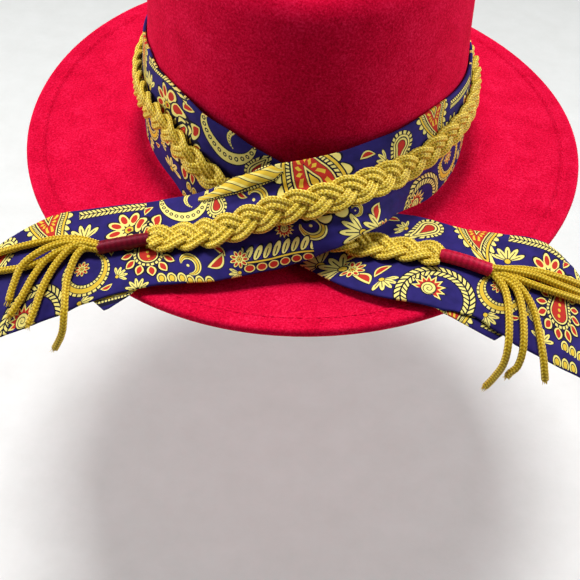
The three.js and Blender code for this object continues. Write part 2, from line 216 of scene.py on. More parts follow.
def ramp(tree, factor, *stops):
    node = tree.nodes.new("ShaderNodeValToRGB")
    plug(tree, factor, node.inputs[0])
    while len(node.color_ramp.elements) < len(stops):
        node.color_ramp.elements.new(0.5)
    for element, (place, colour) in zip(node.color_ramp.elements, stops):
        element.position, element.color = place, (*colour, 1)
    return Wire(tree, node.outputs[0])


def blendColour(tree, share, first, second):
    node = tree.nodes.new("ShaderNodeMix")
    node.data_type = "RGBA"
    for socket, value in zip((node.inputs[0], node.inputs[6], node.inputs[7]), (share, first, second)):
        plug(tree, (*value, 1) if isinstance(value, tuple) else value, socket)
    return Wire(tree, node.outputs[2])


def bump(tree, height, strength, depth):
    node = tree.nodes.new("ShaderNodeBump")
    plug(tree, height, node.inputs["Height"])
    node.inputs["Strength"].default_value = strength
    node.inputs["Distance"].default_value = depth
    return Wire(tree, node.outputs[0])


def finish(tree, shader, colour, normal, **settings):
    plug(tree, colour, shader.inputs["Base Color"])
    plug(tree, normal, shader.inputs["Normal"])
    for socket, value in settings.items():
        shader.inputs[socket.replace("_", " ")].default_value = value


# camera, lamps and floor

cameraSet = {"place": (-3.3, -502.5, 349.7), "down": 44.38, "roll": 2.8, "lens": 62.07}
lampSet = [
    {"name": "topLamp", "place": (-0.04, 0.19, 1.6), "size": 0.45, "power": 26},
    {"name": "leftLamp", "place": (-1.3, 0.04, 0.45), "size": 0.8, "power": 14},
    {"name": "rightLamp", "place": (1.3, 0.08, 0.45), "size": 0.8, "power": 13},
]
roomLight = 0.07
floorSet = {"height": -300, "reach": 4000, "light": (0.76, 0.775, 0.765), "dark": (0.71, 0.725, 0.71)}


def placeCamera():
    down, roll = math.radians(cameraSet["down"]), math.radians(cameraSet["roll"])
    ahead = Vector((0, math.cos(down), -math.sin(down)))
    level, upright = Vector((1, 0, 0)), Vector((0, math.sin(down), math.cos(down)))
    right = level * math.cos(roll) + upright * math.sin(roll)
    top = upright * math.cos(roll) - level * math.sin(roll)
    camera = bpy.data.objects.new("camera", bpy.data.cameras.new("camera"))
    camera.data.lens = cameraSet["lens"]
    camera.data.sensor_width = 36
    camera.data.clip_start = 0.01
    turn = Matrix((right, top, -ahead)).transposed().to_4x4()
    camera.matrix_world = Matrix.Translation(Vector(cameraSet["place"]) * mm) @ turn
    bpy.context.scene.collection.objects.link(camera)
    bpy.context.scene.camera = camera


def placeLamps():
    for lamp in lampSet:
        light = bpy.data.lights.new(lamp["name"], "AREA")
        light.size, light.energy = lamp["size"], lamp["power"]
        obj = bpy.data.objects.new(lamp["name"], light)
        obj.location = lamp["place"]
        obj.rotation_euler = (-obj.location).to_track_quat("-Z", "Y").to_euler()
        bpy.context.scene.collection.objects.link(obj)
    world = bpy.data.worlds.new("studio")
    world.use_nodes = True
    world.node_tree.nodes["Background"].inputs[0].default_value = (1, 1, 1, 1)
    world.node_tree.nodes["Background"].inputs[1].default_value = roomLight
    bpy.context.scene.world = world
    bpy.context.scene.view_settings.view_transform = "Standard"


def layFloor():
    mat, tree, shader = newMaterial("paleFloor")
    mottle = ramp(tree, noise(tree, 30, 6, 0.65), (0.3, floorSet["dark"]), (0.7, floorSet["light"]))
    finish(tree, shader, mottle, bump(tree, noise(tree, 350, 4), 0.12, 0.001), Roughness=0.85)
    r, z = floorSet["reach"], floorSet["height"]
    corners = [(-r, -r, z), (r, -r, z), (r, r, z), (-r, r, z)]
    makeMesh("floor", corners, [[0, 1, 2, 3]], mat)


placeCamera()
placeLamps()
layFloor()
print("camera, lamps and floor placed")


# felt hat

feltShape = {
    "thick": 2.4,
    "brimHalf": np.array([163.0, 176.0]),
    "footHalf": np.array([91.5, 104.5]),
    "sway": 5.7,  # one diagonal of the brim stands above the other
    "weltStart": 0.846,  # share of the brim's width where the turned edge begins
    "weltStep": (-0.004, 0.012),  # from there, begin and end of its step
    "weltRise": 0.8,
    "groove": 0.1,
    "grooveAfter": 0.03,
    "grooveWide": 0.008,
    "foldSpan": (0.9, 0.97),  # the fold is thickest at the very edge
    "edgeRise": 0.45,
    "edgeDrop": 1.3,
    "edgeRound": 1.95,
    "columns": 260,
    "rows": 150,
}
# half width, half length and height of the outside, from the top of the crown to its foot
crownRows = [
    (0, 0, 148), (18, 24, 148), (40, 51, 147.3), (62, 75, 144.5), (77.5, 90.5, 138), (85, 98, 126),
    (87.2, 100.2, 106), (88.3, 101.3, 80), (90, 103, 55), (91, 104, 30), (91.4, 104.4, 14),
    (91.7, 104.7, 8.6),
]
# share of the brim's width and height of its top face
brimRows = [
    (0.018, 5.6), (0.05, 4.4), (0.12, 3.75), (0.36, 2.74), (0.62, 1.9), (0.835, 1.4), (0.93, 1.25),
    (0.973, 1.2),
]
crease = {"depth": 24, "halfWidth": 26, "wall": (106, 144), "back": -80, "front": 80, "fade": 34}
pinch = {"depth": 13, "x": 59, "y": 69, "z": 124, "reach": 28, "height": 23}
feltLook = {
    "deep": (0.3, 0.0, 0.008), "main": (0.66, 0.002, 0.036), "bright": (0.9, 0.02, 0.1), "grain": 950,
    "sheen": 0.1, "sheenTint": (1, 0.1, 0.25, 1),
}


def redFelt():
    mat, tree, shader = newMaterial("redFelt")
    fibres = noise(tree, feltLook["grain"], 4, 0.75)
    level = fibres * 0.8 + noise(tree, 70, 3) * 0.2
    colour = ramp(tree, level, (0.3, feltLook["deep"]), (0.5, feltLook["main"]), (0.72, feltLook["bright"]))
    nap = {"Sheen_Weight": feltLook["sheen"], "Sheen_Tint": feltLook["sheenTint"]}
    relief = bump(tree, fibres, 0.45, 0.0007)
    finish(tree, shader, colour, relief, Roughness=0.95, Specular_IOR_Level=0.03, **nap)
    return mat


def crownDent(p):
    x, y, z = p[..., 0], p[..., 1], p[..., 2]
    back, front, fade = crease["back"], crease["front"], crease["fade"]
    span = smooth(y, back - fade, back + fade) - smooth(y, front - fade, front + fade)
    dent = np.zeros_like(p)
    valley = np.exp(-((x / crease["halfWidth"]) ** 2))
    dent[..., 2] = -crease["depth"] * smooth(z, *crease["wall"]) * span * valley
    for side in (-1, 1):
        away = np.hypot(x - side * pinch["x"], y - pinch["y"]) / pinch["reach"]
        push = pinch["depth"] * np.exp(-(away**2) - ((z - pinch["z"]) / pinch["height"]) ** 2)
        dent[..., 0] -= push * side * pinch["x"] / math.hypot(pinch["x"], pinch["y"])
        dent[..., 1] -= push * pinch["y"] / math.hypot(pinch["x"], pinch["y"])
    return dent


def feltFace():
    # outside of the felt before the edge is turned over: rows from the top outwards, columns round the hat
    foot, edge = feltShape["footHalf"], feltShape["brimHalf"]
    brim = [(*(foot + (edge - foot) * share), height) for share, height in brimRows]
    profile = curveThrough(crownRows + brim, np.linspace(0, 1, 900))
    share = np.clip((profile[:, 0] - foot[0]) / (edge[0] - foot[0]), 0, 1)
    # closer rows at the foot of the crown and at the turned edge
    atWelt = np.exp(-(((share - feltShape["weltStart"]) / 0.02) ** 2))
    atFoot = np.exp(-(((profile[:, 2] - 7) / 5) ** 2))
    close = 1 + 3 * atWelt + atFoot
    pace = np.concatenate([[0], np.cumsum(np.diff(runLength(profile)) * close[1:])])
    ring = pick(np.linspace(0, pace[-1], feltShape["rows"] + 1)[1:], pace, profile)
    turn = np.linspace(0, fullTurn, feltShape["columns"], endpoint=False)
    level = np.repeat(ring[:, 2:3], len(turn), 1)
    p = np.stack([ring[:, :1] * np.cos(turn), ring[:, 1:2] * np.sin(turn), level], -1)
    p += crownDent(p)
    share = np.clip((ring[:, 0] - foot[0]) / (edge[0] - foot[0]), 0, 1)
    p[..., 2] -= feltShape["sway"] * p[..., 0] * p[..., 1] * share[:, None] / edge[0] ** 2
    uneven = 0.25 * np.sin(3 * turn + 0.7) + 0.18 * np.sin(5 * turn + 2.1)  # blocked by hand
    p[..., 2] += uneven * share[:, None]
    return p, share


def makeFelt():
    face, share = feltFace()
    out = unit(np.cross(np.gradient(face, axis=0), (np.roll(face, -1, 1) - np.roll(face, 1, 1)) / 2))
    inWelt = share - feltShape["weltStart"]
    welt = feltShape["weltRise"] * smooth(inWelt, *feltShape["weltStep"])
    inGroove = (inWelt - feltShape["grooveAfter"]) / feltShape["grooveWide"]
    groove = feltShape["groove"] * np.exp(-(inGroove**2))
    fold = smooth(share, *feltShape["foldSpan"])
    outer = face + out * (welt + feltShape["edgeRise"] * fold - groove)[:, None, None]
    inner = face - out * (feltShape["thick"] + feltShape["edgeDrop"] * fold)[:, None, None]
    middle, half = (outer[-1] + inner[-1]) / 2, (outer[-1] - inner[-1]) / 2
    away = unit(middle * (1, 1, 0)) * feltShape["edgeRound"]
    edge = [middle + half * math.cos(t) + away * math.sin(t) for t in np.linspace(0, math.pi, 9)[1:-1]]
    makeTube("feltHat", np.concatenate([outer, edge, inner[::-1]]), redFeltMat, ["felt_body"])
    return outer, out, share


stitchShape = {
    "pitch": 4.4,
    "place": 0.876,  # share of the brim's width
    "wide": 0.3,
    "high": 0.18,
    "along": (0.1, 0.25, 0.5, 0.75, 0.9),
    "arch": (-0.2, 0.08, 0.14, 0.08, -0.2),
}


def makeStitches(outer, out, share):
    row = int(np.argmin(np.abs(share - stitchShape["place"])))
    line, up = (np.vstack([a[row], a[row][:1]]) for a in (outer, out))
    run = runLength(line)
    count = int(run[-1] / stitchShape["pitch"])
    turn = np.arange(5) * fullTurn / 5
    points, faces = [], []
    for k in range(count):
        at = (k + np.array(stitchShape["along"])) * run[-1] / count
        centre, lift = pick(at, run, line), pick(at, run, up)
        centre = centre + lift * np.array(stitchShape["arch"])[:, None]
        side = np.cross(unit(np.gradient(centre, axis=0)), lift)
        high, wide = (np.full((5, 1), stitchShape[key]) for key in ("high", "wide"))
        faces += [[i + len(points) for i in f] for f in tubeFaces(5, 5)]
        points += ringsRound(centre, lift, side, high, wide, turn).reshape(-1, 3).tolist()
    stitches = makeMesh("brimStitches", points, facingOut(np.array(points), faces), redFeltMat)
    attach(stitches, "root")


redFeltMat = redFelt()
makeStitches(*makeFelt())
print("felt hat made")


# printed scarf

scarfShape = {
    "thick": 1.7,
    "away": 1.5,  # from the felt to the middle of the cloth
    "step": 1.7,
    "across": 40,
    "tailBulge": 2.0,
    "crownBulge": 0.7,
    "width": 58,
    "pull": 12.0,  # stretch of the print under the crossing
    "slip": 21.0,  # stretch of the print round the front of the hat
    "pressed": 0.85,  # the cord presses the pleats flat
    "pressReach": 9,
}
# upper and lower edge of each section, from the right end to the crown
rightRows = [
    ((160, -124, -14), (154, -180, -28)), ((150, -120, -6), (142, -177, -20.5)),
    ((141, -116.5, 4), (130, -175.5, -15)), ((130, -111.5, 10), (114, -172, -8)),
    ((118, -110.5, 13), (97.5, -169.5, -2)), ((103, -108.5, 13), (84, -167.5, 4.5)),
    ((88.5, -106.5, 12.5), (71, -163.5, 9.3)), ((74, -101, 11), (57, -158.5, 9)),
    ((60, -96.5, 10.5), (41, -154.5, 8)), ((45, -99.5, 15), (23, -147, 7)),
    ((27, -104.6, 26), (5, -135, 6.4)), ((4, -106.4, 38), (-15, -121, 6.2)),
    ((-18, -103.8, 49), (-36, -106, 6.4)), ((-36, -97.2, 59.5), (-51, -94, 6.8)),
    ((-52, -87.5, 67.5), (-60, -87, 7.6)),
]
# from the crown over the crossing to the left end
leftRows = [
    ((48, -90.2, 61), (56, -93.5, 13)), ((35, -98.2, 59.5), (48, -111.5, 20)),
    ((18, -107, 57.5), (39, -128, 23.8)), ((0, -112.5, 55.5), (21, -139.5, 20)),
    ((-15, -113.5, 52), (3, -140.5, 14)), ((-29, -113.5, 43.5), (-15, -143, 11)),
    ((-41.5, -110.5, 34), (-32, -149, 7.5)), ((-53, -104.5, 24), (-45, -152.5, 5.8)),
    ((-66, -100, 17), (-57, -154.5, 4.8)), ((-80, -99, 14), (-71, -157, 4)),
    ((-95, -101.5, 13), (-85, -160.5, 1.5)), ((-110, -105.5, 12.5), (-100, -162.5, -3.5)),
    ((-124, -110.5, 12), (-116, -164, -9)), ((-139, -117, 8), (-131, -166.5, -14)),
    ((-154, -122.5, 0), (-146.5, -168.5, -20)), ((-166, -127.5, -9), (-160, -172, -27)),
]
# degrees from the back by way of the left, upper edge, lower edge, flare of the lower edge
crownCourse = [
    (47, 72.5, 8.5, 0.8), (62, 70.5, 9, 0), (85, 64, 8.5, 0), (120, 59, 7.8, 0),
    (180, 57.5, 7.8, 0), (250, 57.5, 7.8, 0), (285, 58.5, 7.8, 1), (313, 62.5, 8, 3),
]
crownSections = 21


def wallPoint(degrees, height, away):
    rows = np.array(crownRows[1:])[::-1]
    halfWidth, halfLength = (np.interp(height, rows[:, 2], rows[:, k]) + away for k in (0, 1))
    t = math.radians(-degrees)
    return halfWidth * math.sin(t), -halfLength * math.cos(t), height


def scarfEdges():
    upper, lower = ([row[k] for row in rightRows] for k in (0, 1))
    for degrees in np.linspace(crownCourse[0][0], crownCourse[-1][0], crownSections):
        top, foot, flare = (eased([(row[0], row[k]) for row in crownCourse], degrees) for k in (1, 2, 3))
        upper.append(wallPoint(degrees, top, scarfShape["away"]))
        lower.append(wallPoint(degrees, foot, scarfShape["away"] + flare))
    return np.array(upper + [row[0] for row in leftRows]), np.array(lower + [row[1] for row in leftRows])


upperEdge, lowerEdge = scarfEdges()
crownFrom = len(rightRows) / (len(upperEdge) - 1)
crownTo = (len(rightRows) + crownSections - 1) / (len(upperEdge) - 1)


def scarfAt(passed, across):
    # middle of the cloth and its outward direction: share of the length passed, share of the width
    passed, across = np.broadcast_arrays(np.asarray(passed, float), np.asarray(across, float))
    shape, passed, across = passed.shape, passed.ravel(), across.reshape(-1, 1)

    def onRuling(at):
        return curveThrough(upperEdge, at) * (1 - across) + curveThrough(lowerEdge, at) * across

    ahead = onRuling(np.minimum(passed + 0.002, 1)) - onRuling(np.maximum(passed - 0.002, 0))
    fall = curveThrough(lowerEdge, passed) - curveThrough(upperEdge, passed)
    out = unit(np.cross(ahead, fall))
    tail = 1 - smooth(passed, crownFrom - 0.14, crownFrom) + smooth(passed, crownTo, crownTo + 0.14)
    bulge = scarfShape["crownBulge"] + (scarfShape["tailBulge"] - scarfShape["crownBulge"]) * tail[:, None]
    point = onRuling(passed) + out * bulge * 4 * across * (1 - across)
    return point.reshape(*shape, 3), out.reshape(*shape, 3)


scarfShares = np.linspace(0, 1, 2401)
scarfRun = runLength(scarfAt(scarfShares, 0.5)[0])
scarfFall = curveThrough(lowerEdge, scarfShares) - curveThrough(upperEdge, scarfShares)
scarfWidth = np.linalg.norm(scarfFall, axis=1)

# how far the folded edges lie inside: share of the length, at the upper edge, at the lower edge
edgeTrim = [
    (0, 5, 1.4), (0.04, 4.6, 1.3), (0.055, 3.2, 1.2), (0.065, 2, 1.2), (0.076, 1.4, 3.8), (0.096, 2, 6),
    (0.108, 1.8, 3.6), (0.12, 1.8, 0.8), (0.148, 0, 0.3), (0.2, 0, 0), (0.233, -1.8, 0), (0.25, 0, 0),
    (0.275, 3.3, 0), (0.296, 6, 0), (0.31, 4.8, 0), (0.327, 0, 0), (0.69, 0, 0), (0.73, 0, 3.7),
    (0.753, 0, 5.4), (0.768, 0, 4.8), (0.785, 0, 1.9), (0.8, 0, 0), (0.83, -1.2, 2.8), (0.86, -0.8, 4.6),
    (0.885, 1.5, 5.4), (0.908, 1.2, 6), (0.925, 0.8, 5), (0.943, 0, 2.2), (0.975, 0.8, 0.8), (1, 2.5, 0.5),
]
# the gold cord lies along the scarf: share of the length from the right end, share of the width
braidCourse = [
    (0, 0.48), (0.12, 0.5), (0.22, 0.56), (0.3, 0.46), (0.48, 0.48), (0.66, 0.34), (0.72, 0.42),
    (0.775, 0.41), (0.83, 0.475), (0.88, 0.505), (1, 0.44),
]
# heights of the pleats where the cloth is pulled together and of the soft waves elsewhere
pleatShape = {"over": 1.0, "under": 0.8, "tailEdge": 0.4, "tailWave": 0.3, "wave": 0.12}


def creases(passed, share, run):
    over = smooth(passed, 0.66, 0.71) * (1 - smooth(passed, 0.78, 0.88))
    under = smooth(passed, 0.12, 0.2) * (1 - smooth(passed, 0.26, 0.32))
    tail = 1 - smooth(passed, 0.1, 0.18) + smooth(passed, 0.84, 0.92)
    inset = np.sin(math.pi * share)
    wide, narrow = share * 23 + 1.1 * np.sin(run / 27), share * 41 + 1.5 * np.sin(run / 19 + 1)
    pleat = (np.sin(wide) + 0.6 * np.sin(narrow)) * inset
    wave = np.sin(run / 17 + share * 5) + 0.6 * np.sin(run / 7.3 - share * 9)
    edgeWave = np.sin(run / 9.5 + share * 2.4) * share**2
    loose = tail * (pleatShape["tailEdge"] * edgeWave + pleatShape["tailWave"] * wave * inset)
    pulled = (pleatShape["over"] * over + pleatShape["under"] * under) * pleat
    return pulled + loose + pleatShape["wave"] * wave * inset


def clothRings(front, back, down, thick):
    # front and back faces joined by round edges
    middle, half = (front + back) / 2, (front - back) / 2
    bulge = down * thick / 2
    arc = np.array([math.pi / 4, math.pi / 2, 3 * math.pi / 4])

    def rim(edge, away, turns):
        centre, across = middle[:, edge], half[:, edge]
        return np.stack([centre + across * math.cos(t) + away * math.sin(t) for t in turns], 1)

    return np.concatenate([front, rim(-1, bulge, arc), back[:, ::-1], rim(0, -bulge, arc[::-1])], 1)


def clothMap(run, depth):
    # flat map of the rings in millimetres
    pulled = scarfShape["pull"] * (smooth(run, 165, 205) - smooth(run, 236, 266))
    along = run + pulled + scarfShape["slip"] * smooth(run, 300, 700)
    rim = np.ones((1, 3))
    v = np.concatenate([depth, depth[:, -1:] + rim, depth[:, ::-1], depth[:, :1] - rim], 1)
    return np.stack([np.repeat(along[:, None], v.shape[1], 1), v], -1).reshape(-1, 2)


def makeScarf(parts):
    rows = int(scarfRun[-1] / scarfShape["step"])
    run = np.linspace(0, scarfRun[-1], rows)
    passed = np.interp(run, scarfRun, scarfShares)
    width = np.interp(passed, scarfShares, scarfWidth)[:, None]
    top, foot = (eased([(row[0], row[k]) for row in edgeTrim], passed)[:, None] / width for k in (1, 2))
    share = np.linspace(0, 1, scarfShape["across"] + 1)[None]
    across = top + (1 - top - foot) * share
    passed = np.repeat(passed[:, None], share.shape[1], 1)
    middle, out = scarfAt(passed, across)
    fromCord = (across - eased(braidCourse, passed)) * width / scarfShape["pressReach"]
    pressed = 1 - scarfShape["pressed"] * np.exp(-(fromCord**2))
    lift = (creases(passed, share, run[:, None]) * pressed)[..., None]
    half = scarfShape["thick"] / 2
    front, back = middle + out * (half + lift), middle - out * (half - 0.3 * np.minimum(lift, 0))
    down = unit(middle[:, -1] - middle[:, 0])
    rings = clothRings(front, back, down, scarfShape["thick"])
    scarf = makeTube("scarf", rings, scarfMat, ["scarf_band"], clothMap(run, across * width))


# folded-under layers that show below the lower edge: where they start and end, place on the print,
# and how far they reach
tucks = {
    "scarfTuckLeft": {
        "from": 0.89, "to": 0.923, "print": 212,
        "reach": [(0, -7), (0.26, -3.5), (0.66, 0.3), (0.75, 0.5), (1, -8)],
    },
    "scarfTuckRight": {
        "from": 0.073, "to": 0.124, "print": 9,
        "reach": [(0, -6), (0.1, 0), (0.5, -0.4), (0.85, -0.2), (1, -2)],
    },
}
tuckShape = {"thick": 1.0, "below": 1.7, "inside": 15.0}


def makeTuck(name):
    tuck = tucks[name]
    t = np.linspace(0, 1, 60)
    passed = tuck["from"] + (tuck["to"] - tuck["from"]) * t
    edge, out = scarfAt(passed, 1.0)
    fall = unit(edge - scarfAt(passed, 0.9)[0])
    at, reach = np.array(tuck["reach"]).T
    tip = np.interp(t, at, reach)
    depth = -tuckShape["inside"] + (tip + tuckShape["inside"])[:, None] * np.linspace(0, 1, 17)
    middle = edge[:, None] + fall[:, None] * depth[..., None] - out[:, None] * tuckShape["below"]
    half = out[:, None] * tuckShape["thick"] / 2
    rings = clothRings(middle + half, middle - half, fall, tuckShape["thick"])
    run = np.interp(passed, scarfShares, scarfRun)
    return makeTube(name, rings, scarfMat, (), clothMap(run, depth + tuck["print"]))


# rolled upper edge where the upper layer of the crossing is pulled over the lower one
rollShape = {
    "from": 0.778, "to": 0.84, "high": 2.2, "wide": 4.2, "inside": 0.05, "rise": 1.2, "sides": 24,
    "print": 201.4, "printTurn": 2.7,
}


def makeRoll():
    t = np.linspace(0, 1, 90)
    passed = rollShape["from"] + (rollShape["to"] - rollShape["from"]) * t
    path, out = scarfAt(passed, rollShape["inside"] + 0.01 * np.sin(9 * t))
    path = path + out * rollShape["rise"]
    ahead = unit(np.gradient(path, axis=0))
    swell = 0.3 + 0.7 * smooth(t, 0, 0.12) * (1 - smooth(t, 0.45, 1))
    turn = np.linspace(0, fullTurn, rollShape["sides"], endpoint=False)
    pucker = 1 + 0.07 * np.sin(3 * turn + 14 * t[:, None]) + 0.05 * np.sin(5 * turn - 22 * t[:, None])
    high, wide = (rollShape[key] * swell[:, None] * pucker for key in ("high", "wide"))
    rings = ringsRound(path, out, np.cross(ahead, out), high, wide, turn)
    run = np.repeat(np.interp(passed, scarfShares, scarfRun)[:, None], len(turn), 1)
    depth = np.broadcast_to(rollShape["print"] + turn * rollShape["printTurn"], run.shape)
    uv = np.stack([run, depth], -1).reshape(-1, 2)
    return makeTube("scarfRoll", rings, scarfMat, (), uv)


# print of the cotton: each motif is drawn in millimetres on axes of its own

printLook = {
    "ground": ((0.014, 0.009, 0.105), (0.028, 0.018, 0.18)),
    "cream": (0.9, 0.78, 0.22),
    "gold": (0.8, 0.54, 0.045),
    "red": (0.54, 0.03, 0.018),
    "outline": (0.007, 0.005, 0.025),
    "repeat": 222.0,  # along the scarf
}
inks = ("outline", "red", "gold", "cream")  # printed in this order


def motif(name):
    group = bpy.data.node_groups.new(name, "ShaderNodeTree")
    for socket in ("X", "Y"):
        group.interface.new_socket(socket, in_out="INPUT", socket_type="NodeSocketFloat")
    group.interface.new_socket("Ink", in_out="OUTPUT", socket_type="NodeSocketFloat")
    given, result = group.nodes.new("NodeGroupInput"), group.nodes.new("NodeGroupOutput")

    def paint(outline, **layers):
        # number of the uppermost ink at a place, 0 for bare cloth
        top = outline
        for number, ink in enumerate(inks, 1):
            if ink in layers:
                top = top.over(layers[ink] * float(number))
        plug(group, top, result.inputs["Ink"])
        return group

    return Wire(group, given.outputs["X"]), Wire(group, given.outputs["Y"]), paint


def distance(x, y):
    return (x * x + y * y).calc("SQRT")


def polar(x, y):
    return distance(x, y), x.calc("ARCTAN2", y)


def cells(turn, count):
    # 0 in the middle of each of the cells round a motif, 1 where they meet
    return ((turn * (count / fullTurn)).calc("FRACT") - 0.5).size() * 2.0


def oval(x, y, wide, high):
    # under 1 inside an oval
    return (x * (1 / wide)) * (x * (1 / wide)) + (y * (1 / high)) * (y * (1 / high))


def leafEdge(x, y, wide, high):
    # under 1 inside a leaf with pointed ends
    return x.size() * (1 / wide) + (y * (1 / high)) * (y * (1 / high))


def drop(x, y, foot, tip, height, bend):
    # distance outside a drop with a round foot and a bent tip, offset from its bent middle, angle round it
    lean = (foot - tip) / height
    flat = math.sqrt(1 - lean * lean)
    rise = y.over(0.0)
    bent = x - rise * rise * bend
    side = bent.size()
    along = y * flat - side * lean
    low, high = along.calc("LESS_THAN", 0.0), along.calc("GREATER_THAN", flat * height)
    flank = side * flat + y * lean - foot
    footPart, tipPart = low * (distance(side, y) - foot), high * (distance(side, y - height) - tip)
    d = footPart + tipPart + (low + high).rest() * flank
    return d, bent, bent.calc("ARCTAN2", y - height * 0.17)


def rope(along, off, live):
    # two rows of slanting ticks
    tick = ((along + off.size() * 0.9) * (1 / 1.8)).calc("FRACT").below(0.64)
    return off.size().between(0.25, 1.8) * tick * live, off.size().below(2.2) * live


def botehMotif():
    x, y, paint = motif("botehMotif")
    d, _, turn = drop(x, y, 9.0, 1.2, 20.0, 0.021)
    leaf, bead, tick = (cells(turn, count) for count in (17, 11, 44))
    fringe = d - (leaf * leaf).rest() * 2.6
    leaves = fringe.below(0.5) * d.between(1.0, 20) * leaf.below(0.8)
    ticks = d.between(-2.0, -0.8) * tick.below(0.6)
    beads = ((d + 5.0).size() + bead * 1.5).below(1.15)
    cream = leaves.over(ticks).over(d.between(-3.1, -2.6)).over(d.between(-7.4, -6.9))
    gold = d.between(-0.5, 0.5).over(beads).over(d.below(-7.9))
    cover = fringe.below(1.2).over(d.below(1.2))
    return paint(cream=cream, gold=gold, red=d.between(-6.7, -3.3), outline=cover)


def sunDropMotif():
    # red drop with a row of beads and separate petals round it
    x, y, paint = motif("sunDropMotif")
    d, bent, turn = drop(x, y, 5.0, 1.4, 15.0, 0.01)
    petal = leafEdge(cells(turn, 13) * (d + 6.5) * (math.pi / 13), d - 4.5, 1.7, 2.6)
    beads = d.between(0.5, 1.7) * cells(turn, 26).below(0.66)
    spots = distance(bent, ((y * (1 / 2.6)).calc("FRACT") - 0.5) * 2.6).below(0.75) * d.below(-1.6)
    cream = d.between(-0.9, -0.3).over(beads).over(petal.between(0.7, 1.15))
    red = d.below(-1.1).over(petal.below(0.7))
    return paint(cream=cream, gold=spots, red=red, outline=d.below(2.2).over(petal.below(1.7)))


def budMotif():
    # drop with a red heart, two outlines and a fringe
    x, y, paint = motif("budMotif")
    d, _, turn = drop(x, y, 4.6, 0.6, 11.0, 0.02)
    fringe = d.between(1.4, 3.0) * cells(turn, 19).below(0.6)
    cream = d.between(-1.7, -0.7).over(d.between(0.0, 1.0)).over(fringe)
    return paint(cream=cream, red=d.below(-2.1), outline=d.below(3.3))


def halfSunMotif():
    # cream scroll with pointed petals round most of it
    x, y, paint = motif("halfSunMotif")
    r, turn = polar(x, y)
    scroll = (r * (1 / 1.5) + turn * (1 / fullTurn)).calc("FRACT").below(0.22)
    arc = cells(turn + 0.235, fullTurn / 0.47) * r * 0.235
    edge = arc + r * 0.42 - 2.86
    live = turn.size().below(2.1) * r.below(3.2).rest()
    cream = (r.below(2.9) * scroll.rest()).over(edge.between(-0.5, 0.1) * live)
    cover = r.below(3.5).over(edge.below(0.5) * live)
    return paint(cream=cream, red=edge.below(-0.5) * live, outline=cover)


def flowerMotif():
    # separate petals round a beaded centre
    x, y, paint = motif("flowerMotif")
    r, turn = polar(x, y)
    arc = cells(turn, 9) * r * (math.pi / 9)
    petal = oval(arc, r - 5.7, 1.6, 3.0)
    cream = petal.between(0.5, 1.2).over(distance(r - 2.6, arc).below(0.62))
    red = petal.below(0.5).over(r.below(0.6))
    cover = petal.below(1.9).over(r.below(3.4))
    return paint(cream=cream, gold=r.between(0.85, 1.75), red=red, outline=cover)


def ringMotif():
    # gold band between two rows of cells, bent nearly to a ring
    x, y, paint = motif("ringMotif")
    r, turn = polar(x, y)
    share = turn * (1 / 2.9)
    off = ((r - 10.2) / (share * share).rest().over(0.3)).size()
    live = turn.size().below(2.6)
    rows = off.between(1.5, 2.8) * cells(turn, 30).below(0.7)
    return paint(cream=rows * live, gold=off.below(1.15) * live, outline=off.below(3.3) * live)


def curlBandMotif():
    # cream band with a row of small rings
    x, y, paint = motif("curlBandMotif")
    r, turn = polar(x, y)
    share = turn * (1 / 2.0)
    bow = r - 9.5 + turn * 0.7
    off = bow / (share * share).rest().over(0.3)
    live = turn.size().below(1.8)
    rings = distance(bow, cells(turn, 25) * r * (math.pi / 25)).between(0.38, 0.8)
    return paint(cream=off.size().below(2.1) * rings.rest() * live, outline=off.size().below(2.6) * live)


def branchMotif():
    # slanting leaves on a stem with a red band under it
    x, y, paint = motif("branchMotif")
    live = x.size().below(17.0)
    across = (((x - y * 0.5) * (1 / 4.6)).calc("FRACT") - 0.5).size() * 4.6
    leaf = oval(across, y - 4.2, 1.9, 3.6)
    vein = across.below(0.28) * y.between(1.6, 5.4)
    petal = oval(((x * (1 / 5.6)).calc("FRACT") - 0.5) * 5.6, y + 2.9, 2.5, 1.9)
    cover = leaf.below(1.35).over(petal.below(1.4)).over(y.between(-1.6, 0.8))
    cream, gold = (leaf.below(0.85) * vein.rest()).over(petal.between(0.6, 1)), y.between(-0.5, 0.3)
    return paint(cream=cream * live, gold=gold * live, red=petal.below(0.6) * live, outline=cover * live)


def leafMotif():
    x, y, paint = motif("leafMotif")
    edge = leafEdge(x - y * y * 0.04, y, 3.3, 8.0)
    return paint(cream=edge.between(0.6, 1.0), red=edge.below(0.58), outline=edge.below(1.2))


def commaMotif():
    # gold hook with an outline and a dot
    x, y, paint = motif("commaMotif")
    r, turn = polar(x, y)
    share = (turn - 0.4) * (1 / 2.7)
    live = (turn - 0.4).size().below(2.4)
    off = (r - 4.3 - turn * 0.35).size() / (share * share).rest().over(0.2)
    cream = (off.between(0.95, 1.75) * live).over(distance(x, y + 1.0).below(0.7))
    return paint(cream=cream, gold=off.below(0.6) * live, outline=off.below(2.2) * live)


def sprigMotif():
    # fan of five leaves
    x, y, paint = motif("sprigMotif")
    r, turn = polar(x, y)
    arc = cells(turn + 0.27, fullTurn / 0.54) * r * 0.27
    leaf = oval(arc, r - 5.0, 1.3, 3.7)
    live = turn.size().below(1.3)
    vein = arc.below(0.2) * r.below(6.4)
    cover = (leaf.below(1.25) * live).over(r.below(1.8))
    return paint(cream=leaf.below(0.85) * live * vein.rest(), gold=r.below(1.3), outline=cover)


def domesMotif():
    # three small gold domes side by side
    x, y, paint = motif("domesMotif")
    live = x.size().below(7.6) * y.below(-1.9).rest()
    r = distance(((x * (1 / 5.0) + 0.5).calc("FRACT") - 0.5) * 5.0, y * 0.75)
    return paint(cream=r.between(1.6, 2.3) * live, gold=r.below(1.25) * live, outline=r.below(2.7) * live)


